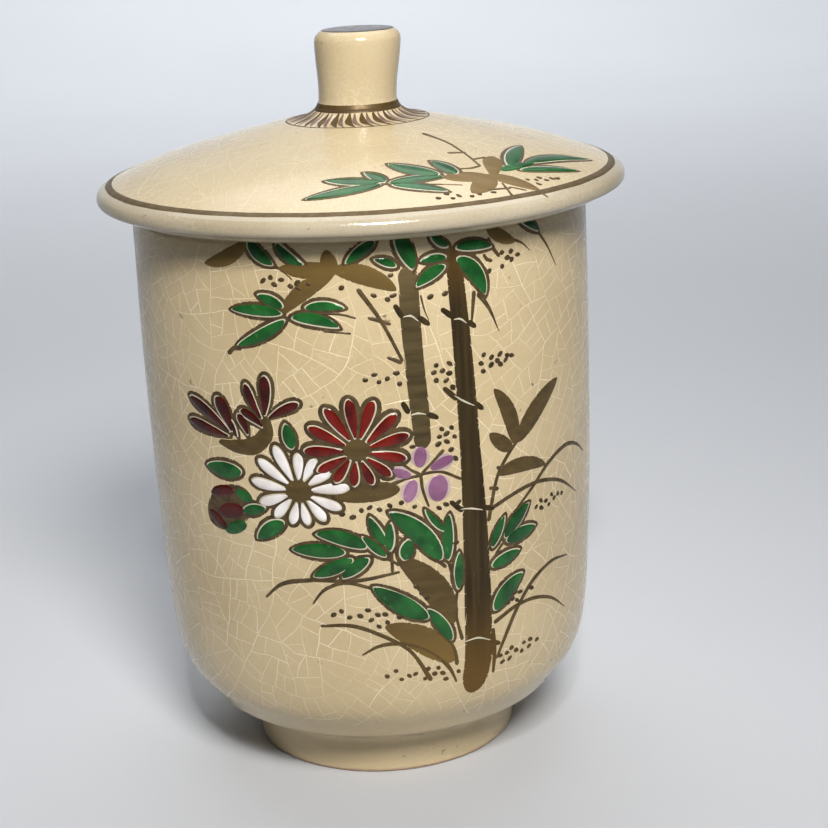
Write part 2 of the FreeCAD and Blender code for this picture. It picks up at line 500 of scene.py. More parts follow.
def rounded_steps(count):
    """Steps from 0 to 1 that lie closer together at both ends."""
    return (1 - np.cos(np.linspace(0, math.pi, count))) / 2


class Paint:
    """Raised brush marks of one colour, gathered into one closed mesh."""

    SINK = 0.02                         # how far a mark's edges go into the glaze, in mm
    ACROSS = np.linspace(-1, 1, 5)      # the usual places across a mark, from edge to edge

    def __init__(self, surface):
        self.surface = surface
        self.vertices = []
        self.faces = []

    def mark(self, path, half_widths, height, across=5, loop=False):
        """One stroke along a path. Its middle stands height above the glaze, and its edges sink into it."""
        path = np.asarray(path, float)
        ahead = np.roll(path, -1, 0) - np.roll(path, 1, 0)
        if not loop:
            ahead[0] = path[1] - path[0]
            ahead[-1] = path[-1] - path[-2]
        ahead /= np.maximum(np.linalg.norm(ahead, axis=1), 1e-9)[:, None]
        side = np.stack([-ahead[:, 1], ahead[:, 0]], axis=1)
        s = np.linspace(-1, 1, across)
        reach = np.asarray(half_widths, float)[:, None] * s
        self.raise_up(path[:, None, :] + side[:, None, :] * reach[..., None], height, loop)

    def grid(self, angles, k, height, loop=False):
        """A mark laid straight on a turned surface, from rows of angles and of k that broadcast together."""
        self.raise_up(np.stack(np.broadcast_arrays(angles, k), axis=-1), height, loop)

    def raise_up(self, places, height, loop):
        """Closes rows of places into a strip with a domed top: the lens section that every mark has."""
        rows, across = places.shape[:2]
        s = np.linspace(-1, 1, across)
        lift = np.broadcast_to((height + self.SINK) * (1 - s**4) - self.SINK, (rows, across))
        start = len(self.vertices)
        self.vertices.extend(self.surface(places, lift).reshape(-1, 3).tolist())
        for i in range(rows if loop else rows - 1):
            a, b = start + i * across, start + (i + 1) % rows * across
            for j in range(across - 1):
                self.faces.append((a + j, b + j, b + j + 1, a + j + 1))
            self.faces.append((a + across - 1, b + across - 1, b, a))
        if not loop:
            self.faces.append(tuple(start + j for j in range(across)))
            self.faces.append(tuple(start + (rows - 1) * across + j for j in reversed(range(across))))

    def show(self, name, material, body, slot):
        show(name, self.vertices, self.faces, material, body, slot)


def bent_path(base, tip, bend, count, inset=0.0):
    """A path from base to tip that bows sideways by bend mm, with closer points at its ends."""
    base, tip = np.asarray(base, float), np.asarray(tip, float)
    along = tip - base
    length = np.linalg.norm(along)
    side = np.array([-along[1], along[0]]) / length
    t = inset / length + rounded_steps(count) * (1 - 2 * inset / length)
    return base + along * t[:, None] + side * (4 * bend * t * (1 - t))[:, None]


def leaf_width(t):
    """A pointed leaf, broadest a little nearer its base."""
    return np.sin(math.pi * t**0.85) ** 0.56


def petal_width(t):
    """Narrow where it leaves the flower's eye, and round at its tip."""
    broad = 0.70
    rise = 0.22 + 0.78 * np.sin(np.clip(t / broad, 0, 1) * math.pi / 2)
    end = np.sqrt(np.clip(1 - (np.clip(t - broad, 0, 1) / (1 - broad)) ** 2, 0, 1))
    return rise * end


def oval_width(t):
    return np.sqrt(np.clip(1 - (2 * t - 1) ** 2, 0, 1))


SHAPES = {"leaf": leaf_width, "petal": petal_width, "oval": oval_width}
THIN = 0.03             # the least half width of a mark, so that no face is flat

# For each colour: the piece's name after its body's, and a slot name.
PIECE_OF = {
    "outline": ("leaf_outlines", "gilding"),
    "gold": ("gilded_stalks", "gilding"),
    "thin_gold": ("thin_gilded_stalk", "gilding"),
    "green": ("green_leaves", "green_enamel"),
    "red": ("red_petals", "red_enamel"),
    "wine": ("dark_red_petals", "red_enamel"),
    "white": ("white_petals", "white_enamel"),
    "violet": ("violet_petals", "violet_enamel"),
    "blush": ("violet_blush", "violet_enamel"),
    "halo": ("pale_ground", "white_enamel"),
    "dots": ("gilded_dots", "gilding"),
    "grass": ("gilded_grass", "gilding"),
    "gold_leaf": ("gilded_leaves", "gilding"),
}


def blend(a, b, steps):
    """Places between a and b at the given steps."""
    return np.array([a + (b - a) * t for t in steps])


class Brushes:
    """The colours used on one body, and the marks made with each."""

    OUTLINE = 0.34          # how far an outline reaches outside a leaf's drawn edge, in mm
    BAND = 0.08             # where the pale band starts inside that edge
    ENAMEL = 0.24           # where the enamel starts inside it
    PETALS = 13             # in each chrysanthemum

    def __init__(self, surface):
        self.paint = {colour: Paint(surface) for colour in PIECE_OF}
        self.random = random.Random(4)

    def blade(self, base, tip, half, bend=0.0, shape="leaf", fill="green", level=0.0):
        """A leaf or petal: a brown ground that shows as its outline, a thin pale band, and raised enamel.

        Each layer has its inset, its height and its shift to one side. The enamel never sits quite in the
        middle, so the band is wider on one side."""
        aside = self.random.choice((-1, 1)) * self.random.uniform(0.06, 0.15)
        for colour, inset, height, shift in (
            ("outline", -self.OUTLINE, 0.055, 0), ("halo", self.BAND, 0.085, 0),
            (fill, self.ENAMEL, 0.15, aside),
        ):
            pull = min(inset * 1.3, math.dist(base, tip) * 0.3)
            path = bent_path(base, tip, bend, 17, pull)
            along = path[-1] - path[0]
            path = path + shift * np.array([-along[1], along[0]]) / np.linalg.norm(along)
            widths = SHAPES[shape](rounded_steps(17)) * max(half - inset, 2 * THIN)
            self.paint[colour].mark(path, np.maximum(widths, THIN), level + height, across=7)

    def blades(self, *leaves, **how):
        """Leaves given as (base x, base y, tip x, tip y, half width, bend)."""
        for x, y, tip_x, tip_y, half, bend in leaves:
            self.blade((x, y), (tip_x, tip_y), half, bend, **how)

    def solid(self, base, tip, half, bend=0.0, shape="leaf", colour="gold_leaf", height=0.07):
        """A leaf laid in with one loaded brush."""
        widths = np.maximum(SHAPES[shape](rounded_steps(19)) * half, THIN)
        self.paint[colour].mark(bent_path(base, tip, bend, 19), widths, height, across=9)

    def solids(self, *leaves, **how):
        """Solid leaves, given as blades are."""
        for x, y, tip_x, tip_y, half, bend in leaves:
            self.solid((x, y), (tip_x, tip_y), half, bend, **how)

    def stroke(self, points, widths, colour="grass", height=0.07):
        """A line through the points, round at its ends, with half widths given at even steps along it."""
        path = smooth_path(points, 0.5)
        path = np.vstack([blend(path[0], path[1], (0.0, 0.12, 0.35, 0.7)), path[1:-1],
                          blend(path[-2], path[-1], (0.3, 0.65, 0.88, 1.0))])
        along = np.concatenate([[0], np.cumsum(np.linalg.norm(np.diff(path, axis=0), axis=1))])
        half = np.interp(along / along[-1], np.linspace(0, 1, len(widths)), widths)
        to_end = np.minimum(along, along[-1] - along)
        half = half * np.sqrt(1 - (1 - np.clip(to_end / half, 0, 1)) ** 2)
        self.paint[colour].mark(path, np.maximum(half, THIN), height)

    def strokes(self, *lines):
        """Grass-coloured strokes, each given as its points and its half widths."""
        for points, widths in lines:
            self.stroke(points, widths)

    def dots(self, seed, *places, size=0.42):
        """Small raised dots, no two alike."""
        rng = random.Random(seed)
        for x, y in places:
            reach = size * rng.uniform(0.85, 1.3)
            heading = rng.uniform(-0.8, 0.8)
            step = np.array([math.cos(heading), math.sin(heading)]) * reach
            t = rounded_steps(8)
            half = np.maximum(oval_width(t) * size * rng.uniform(0.82, 1.08), THIN)
            self.paint["dots"].mark(np.array([x, y]) - step + 2 * step * t[:, None], half, 0.11)

    def flower(self, centre, start, reach, shrink, half, fill, eye, short=(), level=0.0):
        """A chrysanthemum seen a little from below: petals round an eye, shorter towards its lower side."""
        centre = np.array(centre, float)
        for i in range(self.PETALS):
            angle = math.radians(start) + 2 * math.pi * i / self.PETALS
            out = np.array([math.cos(angle), math.sin(angle)])
            length = reach - shrink * max(0.0, -out[1])
            if i in short:
                length *= 0.78
            self.blade(centre + out * eye * 0.75, centre + out * length, half * (0.5 + 0.5 * length / reach),
                       shape="petal", fill=fill, level=level)
        self.solid(centre - (eye, 0), centre + (eye, 0), eye, shape="oval", height=level + 0.12)

    def show(self, body, materials):
        """Makes a piece of each colour that was used."""
        for colour, paint in self.paint.items():
            if paint.vertices:
                name, slot = PIECE_OF[colour]
                paint.show(f"{body}_{name}", materials[colour], body, slot)


# ------------------------ painting on the cup


def bamboo_stalks(b):
    """Two stalks. A thin pale line arches across each joint, and thorns stand out beside it."""
    b.stroke([(6.2, 84.5), (6.3, 77), (6.6, 70), (6.9, 65), (7.25, 57.7)], [1.6, 1.65, 1.6, 1.6, 1.4],
             "thin_gold", 0.06)
    b.stroke([(12.9, 86.5), (13.6, 76), (14.1, 65), (14.6, 52), (14.9, 42), (15.1, 30), (15.1, 24)],
             [1.3, 1.5, 1.65, 1.8, 1.9, 2.2, 2.5, 2.7, 2.7], "gold", 0.07)
    b.stroke([(15.1, 29), (15.05, 23.5), (14.1, 17.3)], [2.5, 2.75, 2.8, 2.6, 2], "gold", 0.075)
    b.stroke([(17.6, 27.5), (17.9, 23.5), (17.8, 19.9)], [0.4, 0.45, 0.3], "gold")
    for joint in (
        [(5.2, 77.3), (6.3, 77.4), (7.4, 76.5)], [(5.6, 62.9), (6.7, 63.1), (7.9, 62.8)],
        [(12.6, 76.1), (13.5, 76.1), (14.6, 75.3)], [(12.2, 65), (13.4, 64.1), (15.3, 63)],
        [(12.5, 47.7), (14.1, 47.5), (16.1, 46.9)], [(12.7, 26.4), (14.8, 26.6), (17.1, 25.7)],
    ):
        b.stroke(joint, [0.08, 0.24, 0.08], "halo", 0.13)
    for thorn in (
        [(5.2, 77.2), (4.1, 79.2)], [(7.4, 77.1), (9, 75.8)], [(5.4, 63.2), (4.5, 65)],
        [(7.9, 62.9), (9.7, 62)], [(12.6, 76.4), (10.8, 77.9)], [(14.8, 75.5), (16.1, 74.5)],
        [(12.7, 64.3), (10.6, 66.4)], [(15.3, 63.4), (16.8, 62.2)], [(12.9, 47.3), (10.9, 49.2)],
        [(16.2, 47.3), (18.1, 46.6)], [(12.4, 65.9), (11.7, 66.6)], [(16.9, 25.4), (19, 24.6)],
    ):
        b.stroke(thorn, [0.42, 0.48, 0.36], "gold", 0.10)


def bamboo_leaves(b):
    """Green bamboo leaves along the top, most of them hanging from the thick stalk."""
    b.blades(
        (13.3, 84.9, 17.9, 78.8, 1.65, 1), (13.2, 86.2, 19.4, 85.6, 1.15, 0.3),
        (11.9, 84, 7.2, 81.3, 1.25, -0.3), (12.1, 85.2, 7.9, 85, 0.95, -0.2), (4.6, 89, 6.9, 83.7, 1.55, 0.3),
        (4.8, 84.5, 1.4, 85.8, 0.9, -0.1), (2, 88.4, -2.5, 85.3, 1.15, -0.2),
        (12.4, 86.5, 9.6, 88.3, 0.9, 0.1), (-16.6, 88.6, -12.5, 85.2, 1.3, -0.4),
        (-12.2, 88.6, -8, 85.4, 1.1, -0.5), (24.6, 88.7, 28.6, 86.2, 1.05, 0.3),
    )
    b.strokes(
        ([(28.4, 86.4), (30.8, 83.6), (32.8, 80.5)], [0.3, 0.22, 0.05]),
        ([(16, 79.8), (15.7, 77.2), (15.4, 75)], [0.42, 0.3, 0.15]),
        ([(16.6, 79.4), (18.2, 77.2), (20, 73.2)], [0.5, 0.3, 0.05]),
        ([(18.7, 87), (19.6, 85.2), (20.6, 84)], [0.25, 0.35, 0.3]),
        ([(17.8, 84.8), (18.4, 83.9), (19.3, 83.6)], [0.25, 0.32, 0.3]),
        ([(-12.6, 85.2), (-11.2, 84.4), (-10, 83.2)], [0.3, 0.22, 0.1]),
        ([(7.9, 80.2), (8.3, 78.2), (8.9, 76.4)], [0.16, 0.14, 0.08]),
    )


def left_branch(b):
    """The broad brown leaves at the top left, and the branch of green leaves under them."""
    b.solids(
        (-3.4, 84.5, -12, 84.8, 1.35, 0.1), (-4.2, 84.6, 4.5, 81.2, 1.55, 0.7),
        (-4.4, 83.6, -5, 87.4, 1.35, 0), (-4, 84.2, -12.3, 78, 1.35, -0.6),
        (-16.6, 88.6, -24.2, 84.9, 1.25, 0.8), (18.6, 88.6, 23.6, 85.7, 1.1, -0.3),
    )
    b.stroke([(23.3, 86), (25, 85.2), (26.6, 83.8)], [0.28, 0.18, 0.04])
    b.blades(
        (-11.6, 78.3, -20, 78.5, 1.2, -0.2), (-11.4, 79.2, -15.6, 81, 1.15, -0.2),
        (-11.3, 77.6, -19.4, 73.3, 1.25, 0.3), (-10.6, 77.7, -3.6, 76.2, 1.25, 0.5),
        (-8.6, 79.2, -2.7, 79.1, 1.05, 0.4),
    )
    b.strokes(
        ([(-18, 73.9), (-19, 73.1), (-20, 72.8), (-21, 71.9)], [0.3, 0.62, 0.35, 0.5]),
        ([(-6, 75.9), (-4, 75.7), (-2.1, 75.4)], [0.22, 0.24, 0.16]),
        ([(-6, 78.4), (-3.2, 78.2), (-1.3, 77.6)], [0.22, 0.24, 0.2]),
        ([(-0.9, 81.8), (2, 77.2), (4.9, 70.9)], [0.42, 0.3, 0.26]),
        ([(0.3, 77.6), (1.8, 77.1), (3.5, 76.4)], [0.3, 0.36, 0.25]),
        ([(2.7, 71.7), (3.8, 71.2), (4.8, 70.7)], [0.22, 0.34, 0.36]),
    )


def flowers(b):
    """Red and white chrysanthemums, a red one seen from the side, a bud, and a small violet flower."""
    b.flower((-11.1, 52), 116, 7.7, 2.3, 1.20, "white", 2.2, short=(10, 11, 12))
    b.flower((-2.2, 58.3), 97, 7.9, 2.2, 1.27, "red", 2.1, level=0.08)
    b.blades(
        (-21.8, 59.4, -30.3, 60.8, 1.25, 0), (-21.6, 60, -29.8, 64.4, 1.25, -0.4),
        (-21.4, 60, -24.2, 65.3, 1.55, -0.3), (-20.3, 59.4, -21.8, 62.3, 0.75, -0.1),
        (-18.6, 59.8, -20.3, 63.2, 1.05, -0.2), (-15.9, 61.2, -19.9, 63.6, 1.05, -0.3),
        (-15.9, 62.6, -18.5, 68, 1.1, 0.3), (-15.5, 63, -15.2, 69.4, 1.3, -0.2),
        (-15.2, 62.8, -10, 65.4, 1.05, 0.2),
        shape="petal", fill="wine",
    )
    b.stroke([(-24, 58.3), (-21, 58), (-17.6, 58.5), (-15.5, 60.6), (-15.3, 63.2)],
             [0.4, 1.1, 1.45, 1.3, 0.5], "gold_leaf", 0.12)
    b.solid((-27.4, 45.2), (-18.9, 50.6), 3.6, 0.3, "oval", "outline", 0.05)
    for base, tip, half, colour in (
        ((-25.4, 47), (-20.4, 48.2), 1.4, "wine"), ((-26.6, 49.9), (-21.9, 51), 1, "wine"),
        ((-27.4, 46.9), (-24.2, 44.6), 1.05, "wine"), ((-21.6, 50.9), (-18.9, 49.8), 1, "green"),
        ((-24.2, 44.2), (-20.2, 46), 1.05, "green"),
    ):
        b.solid(base, tip, half, 0.1, "oval", colour, 0.14)
    b.blades((-20.8, 47.9, -16.4, 49.1, 1.25, 0.1), (-20, 54.2, -27.2, 54.2, 1.75, 0.1),
             (-13.6, 47.2, -18.6, 43.9, 1.6, -0.3), (-11.6, 58.2, -12.5, 62.4, 1.4, 0.1))
    for base, tip, half in (
        ((6.6, 55), (6.9, 58.1), 1.25), ((8.2, 54.6), (11.7, 55.9), 1.05), ((9.4, 53.5), (9, 49.5), 1.85),
        ((5.7, 53.2), (4.5, 49.9), 1.25), ((5.3, 53.8), (2.3, 54.9), 0.95),
    ):
        b.solid(base, tip, half + 0.32, 0, "oval", "blush", 0.06)
        b.solid(base, tip, half - 0.10, 0, "oval", "violet", 0.12)
    b.strokes(
        ([(6.8, 54), (8.3, 55.3), (10.3, 57.2)], [0.25, 0.28, 0.36]),
        ([(6.6, 53.9), (9.3, 54), (12.8, 52.3)], [0.28, 0.26, 0.26]),
        ([(6.7, 54), (6.9, 51.5), (7.7, 48.8)], [0.3, 0.26, 0.2]),
        ([(6.8, 53.8), (5.2, 54.8), (3.2, 56.7)], [0.28, 0.26, 0.26]),
        ([(6.8, 53.8), (4.2, 53.4), (1.4, 52.3)], [0.28, 0.28, 0.5]),
    )
    b.solid((3.6, 52), (-5.6, 50.9), 1.65, -0.35)


def leaf_cluster(b):
    """The bush of green and brown leaves at the foot of the thick stalk."""
    b.blades(
        (-1.5, 43.2, -9.2, 45.4, 1.55, -0.5), (-4.6, 42.6, -13, 42.8, 1.55, -0.1),
        (-3.6, 41.7, -10, 38.7, 1.45, 0.2), (-1.2, 41.7, -5.6, 38.4, 1.35, -0.1),
        (1.2, 41.6, -2.4, 45.2, 1, 0.1), (1.4, 43.4, -1, 48.3, 1.15, 0.2), (1.8, 42.4, 2.1, 47.2, 1.1, 0.1),
        (3.6, 40.8, 4.5, 44.4, 1.45, 0), (9.4, 40.2, 1.7, 48.7, 2.05, -0.9),
        (10.4, 39.9, 10.8, 47.4, 1.25, 0.1), (10, 44.6, 7, 48.6, 0.8, 0.2), (11.8, 35, 12.1, 41.2, 1.1, 0.1),
        (7.2, 31.3, -1.2, 37.2, 1.95, 0.1), (10.7, 27, 6.8, 33, 1.35, -0.3), (17.6, 40.4, 20.1, 45.2, 1.1, 0),
        (19.8, 41.4, 25, 45.9, 1.5, 0.2), (20, 41, 26.4, 41.9, 1.55, 0.1), (17.3, 37.6, 23, 39, 1.4, 0.1),
        (17.8, 30.2, 23.6, 35.1, 1.9, 0.6),
    )
    b.solids(
        (10.9, 29.8, 2.6, 41.4, 2.35, -1.3), (10.8, 23.6, 0.4, 30.6, 2.35, -0.9),
        (22.3, 55.6, 18.7, 64.8, 1.45, -0.9), (21.8, 55.1, 17.7, 58.3, 1.25, 0.2),
        (22.8, 55.9, 32.2, 63.4, 1.75, 0.7), (18.8, 51.8, 28.8, 50.8, 1.3, 0.9),
    )


def grass(b):
    """Thin stems and blades of grass that spring from the foot of the bamboo."""
    b.strokes(
        ([(-18, 34.6), (-15.2, 37), (-10.5, 38.1), (-4, 38.1), (3, 39.2)], [0.2, 0.42, 0.36, 0.36, 0.25]),
        ([(-10.3, 34.3), (-8.4, 36.6), (-5.4, 37.8), (-1.2, 36.9)], [0.15, 0.32, 0.34, 0.3]),
        ([(-9.4, 30.8), (-4.5, 30.9), (0, 29.1), (3.6, 26.7), (7.2, 20.9)], [0.25, 0.38, 0.36, 0.32, 0.45]),
        ([(-3.3, 26.1), (-0.6, 27.5), (3, 27.6), (7.8, 25.2), (10.2, 22.4), (11.3, 19.9)],
         [0.15, 0.36, 0.36, 0.3, 0.4, 0.2]),
        ([(10.3, 27.2), (11, 25.2), (11.4, 22.8)], [0.2, 0.38, 0.4]),
        ([(11.8, 36.6), (11.4, 31), (12.3, 26.8)], [0.3, 0.22, 0.35]),
        ([(-1.6, 42.1), (1.2, 41.4), (3, 40.2)], [0.25, 0.3, 0.25]),
        ([(1.9, 42.6), (1.9, 39.2)], [0.28, 0.28]), ([(9, 46.5), (10, 41.5), (11.4, 35.6)], [0.25, 0.3, 0.3]),
        ([(2.6, 44.9), (6.2, 42.7), (10, 39)], [0.22, 0.3, 0.34]),
        ([(17.1, 44.8), (17.8, 48), (19.1, 52), (21.3, 54.8), (23.4, 56.6)], [0.4, 0.36, 0.34, 0.36, 0.25]),
        ([(18.7, 52.9), (20.4, 52.2)], [0.3, 0.4]), ([(17.3, 50), (19, 49.5)], [0.28, 0.42]),
        ([(17.8, 46.8), (22, 48.1), (26.8, 48.6), (32, 47.4), (38.3, 43.6)], [0.36, 0.38, 0.36, 0.3, 0.1]),
        ([(22.4, 45.6), (25.6, 48), (30, 51.1), (35, 52.2), (39, 51), (42, 49)],
         [0.25, 0.35, 0.42, 0.42, 0.32, 0.12]),
        ([(17, 37.8), (20, 41.1), (23.2, 42.8)], [0.25, 0.3, 0.2]),
        ([(17.8, 28.3), (22, 29.9), (25.5, 30.1), (30, 28.8), (34.6, 25.6)], [0.42, 0.38, 0.34, 0.28, 0.08]),
        ([(18.3, 22.2), (20, 25.6), (22.4, 29.6), (26, 33.2), (30, 34.7), (35.2, 34.2)],
         [0.3, 0.42, 0.42, 0.42, 0.34, 0.1]),
    )


def scattered_dots(b):
    """The dots that stand for moss and mist between the plants."""
    b.dots(2, (-14.4, 83), (-13.2, 83.5), (-12.7, 82.5), (-11.6, 83.2), (-10.3, 82.3), (-9.3, 82.8),
           (-9.2, 82), (-7.7, 82.6), (-3.1, 82), (1.3, 80.7), (3.2, 80), (4, 80.5), (9.3, 79.8), (11.5, 80),
           (18.7, 82.2), (21, 82.5), (21, 84.5), (22, 83.6), (22.8, 83.2), (22.7, 84.4), (24, 83.7),
           (3.8, 83.4))
    b.dots(3, (-0.5, 68.6), (0.8, 69.3), (1.4, 68.2), (2.6, 68.6), (3.9, 69.3), (4.3, 67.7), (9.3, 68.8),
           (9.7, 69.8), (9.6, 67.6), (10.6, 68.9), (11.1, 67.4), (11.6, 68.4), (11.7, 69.8), (17.2, 70.2),
           (16.7, 69), (17, 67.8), (18.5, 69.6), (18.4, 68.5), (19.5, 68.9), (20, 69.8), (20, 68.3),
           (21.3, 69.4), (21, 68.8), (22.1, 69.2))
    b.dots(4, (10.1, 60.3), (11.6, 60.3), (10.8, 59.5), (9.7, 59.2), (12, 58.9), (9.5, 58.1), (10.8, 58.3),
           (11.4, 57), (12, 55.6), (5.7, 58.2))
    b.dots(5, (-4.9, 48.6), (-3.4, 48.1), (-2.1, 49.1), (-0.9, 49.5), (0.5, 49.1), (2, 49.6), (3.7, 49.9),
           (5.6, 49.1), (9.2, 48.4), (10.3, 48.8), (12.2, 48.8), (11.6, 42.6))
    b.dots(6, (-7.2, 32.7), (-6, 33.3), (-4.8, 32.3), (-3.2, 32.5), (-2, 33.4), (-0.6, 32.6), (0.5, 32.6),
           (-1.6, 31.8), (0.8, 31.3), (-0.5, 30.7), (2.6, 32), (5.3, 36.6), (6.1, 35.5), (6.9, 34.6))
    b.dots(7, (0.3, 22.4), (1.7, 23.2), (2.5, 21.7), (3.7, 22.2), (4.7, 22.4), (6.7, 23), (7.7, 22),
           (6.2, 21.4), (8.3, 22.9), (9, 21.9), (9.5, 20.8), (11.6, 21.7), (19, 22.5), (20.3, 22.6),
           (19.5, 21.3), (21.2, 23.2), (22.2, 22.5), (23.4, 22), (23.8, 23.3), (25, 22.3), (25.2, 23.4),
           (26.8, 22.8), (20.9, 21.5))
    b.dots(8, (26.5, 44.7), (27.6, 45.4), (27.7, 44.2), (28.8, 45), (29.6, 44.2), (30.3, 45.6), (31, 44.8),
           (32, 45.2), (33.2, 44.9), (20.4, 30.9), (21.4, 31.3), (22.3, 30.8), (22.9, 32), (21.9, 32.2),
           (25.4, 31.9))


def back_spray(b):
    """A small spray on the side that faces away, in the same hand as the front."""
    middle = math.pi * CUP_FRONT
    for x, y, tip_x, tip_y, half, bend in (
        (0, 52, -8.5, 54.5, 1.3, -0.5), (0.5, 52.5, 7, 57.5, 1.35, 0.5), (0, 53, -3, 60.5, 1.35, 0.4),
        (-0.5, 51, -7, 46.5, 1.25, 0.4), (0.5, 51, 6.5, 48, 1.2, -0.4),
    ):
        b.blade((middle + x, y), (middle + tip_x, tip_y), half, bend)
    b.stroke([(middle + 1.5, 34), (middle - 0.8, 43), (middle, 52)], [0.20, 0.34, 0.30])
    b.stroke([(middle - 6, 36), (middle - 3.5, 40.5), (middle - 0.7, 43)], [0.10, 0.26, 0.25])
    puffs = (-5, 42.5), (-3.8, 41.8), (3, 41.5), (4.2, 42.2), (5.3, 41.4), (2.2, 42.6)
    b.dots(9, *((middle + x, y) for x, y in puffs))


# ------------------------ painting on the lid


def lid_spray(b):
    """A spray of bamboo leaves on the right of the lid, with a brown bud and leaves in its middle."""
    b.blades(
        (3, -31, -5.2, -29.7, 1.45, 0.3), (2.8, -31.5, -8, -34, 1.3, 0.2), (3.2, -31.4, 0.3, -28, 1.35, -0.3),
        (11.2, -28.4, 3.8, -25.3, 1.8, 0.4), (13.6, -28, 9.9, -24, 1.55, -0.3),
        (3.6, -31.4, 11.6, -28.9, 1.3, 0.2), (4, -31.9, 12, -33.1, 1.25, 0.2),
        (21.3, -23.4, 23.8, -12.6, 1.5, 0.4), (23.9, -20.6, 34.4, -10.6, 1.45, 0.6),
        (22.6, -23.7, 31.6, -18.4, 1.15, 0.3),
    )
    b.solid((20, -24.9), (25, -19.9), 0.95, 0.2, colour="green", height=0.14)
    b.solids((11.6, -29.4, 19.4, -27.6, 1.65, 0.3), (18.3, -27.2, 15.2, -32.9, 1.75, 0.3),
             (17.6, -27.2, 25, -29.2, 1.55, 0.5))
    b.solid((18.6, -27.2), (19.1, -20), 1.60, 0, "petal")
    b.strokes(
        ([(24.2, -28.6), (25, -29.6), (25.9, -30.6)], [0.35, 0.3, 0.2]),
        ([(17, -24.3), (15.2, -20.2), (12.6, -15.6), (9.4, -12.8)], [0.26, 0.28, 0.34, 0.52]),
        ([(17, -24.2), (15.6, -25.4), (13.8, -26.1)], [0.25, 0.3, 0.22]),
        ([(12.6, -20.4), (15.3, -19.5)], [0.4, 0.28]), ([(16, -22.2), (17.9, -20.7)], [0.26, 0.32]),
        ([(17.3, -31.6), (20.8, -30)], [0.22, 0.3]), ([(19.7, -28.9), (20.8, -32.2)], [0.22, 0.26]),
        ([(20.6, -29.7), (23, -29.9)], [0.2, 0.24]),
        ([(3.2, -31.6), (8, -31.5), (14, -31)], [0.22, 0.2, 0.16]),
    )
    b.dots(11, (10.4, -35), (11.6, -33.8), (12.4, -34.8), (13.3, -34), (15.1, -33.8), (16.2, -33),
           (18.2, -32), (23.5, -26.4), (24.8, -25.9), (25.3, -24.9), (26.3, -25.2), (27.2, -24.2),
           (28, -23.7), (25, -27.1), size=0.38)


LINE_RADIUS = 38.7      # the gold line runs round the dome just inside the lip


def lid_line():
    """A hand-banded gold line round the lid: its edges waver a little."""
    line = Paint(on_lid)
    rng = np.random.default_rng(5)
    angle = np.linspace(0, 2 * math.pi, 361)[:-1]
    waver = sum(rng.uniform(0.01, 0.05) * np.sin(k * angle + rng.uniform(0, 6)) for k in (3, 7, 13, 29))
    r = LINE_RADIUS + waver * 0.6
    path = np.stack([r * np.sin(angle), -r * np.cos(angle)], axis=1)
    line.mark(path, 0.62 + waver * 0.5, 0.05, loop=True)
    return line


FLUTES = 24             # brown strokes round the knob's foot
FLUTE_SHAPE = np.array([0.30, 0.62, 0.88, 1.0, 1.0, 0.92, 0.74, 0.48, 0.15])


def knob_painting():
    """Curved brown flutes round the knob's foot, a mauve wash between them, and gold bands beside them."""
    flutes, wash, bands, neck = (Paint(part.laid) for part in (flare, flare, flare, stem))
    gap = 2 * math.pi / FLUTES
    r = np.linspace(6.75, 10.75, len(FLUTE_SHAPE))
    for i in range(FLUTES):
        angle = gap * (i + 0.3) + 0.035 * (r - r[0]) - 0.05 * np.sin((r - r[0]) * 0.75)
        for paint, turn, share, height in ((flutes, 0.0, 0.27, 0.07), (wash, 0.42, 0.19, 0.045)):
            half = np.maximum(gap * share * FLUTE_SHAPE, THIN / 5)
            paint.grid((angle + gap * turn)[:, None] + half[:, None] * Paint.ACROSS, r[:, None], height)
    ring = np.linspace(0, 2 * math.pi, 145)[:-1, None]
    for paint, middle, half, height in (
        (bands, 10.95, 0.16, 0.05), (bands, 6.5, 0.24, 0.06), (neck, 102.9, 0.40, 0.05),
    ):
        paint.grid(ring, middle + half * Paint.ACROSS, height, loop=True)
    return flutes, wash, bands, neck


def knob_disc():
    """A thin skin of dark lustre over the knob's flat top and just over its edge."""
    top = float(knob_profile[:, 1].max())
    skin = [(0.0, top + 0.06), (2.5, top + 0.06), (5.1, top + 0.055), (5.45, top), (5.66, top - 0.16),
            (5.45, top - 0.30), (0.0, top - 0.30)]
    return turn_profile(np.array(skin), lid_hand, 128)


# ------------------------ crackle


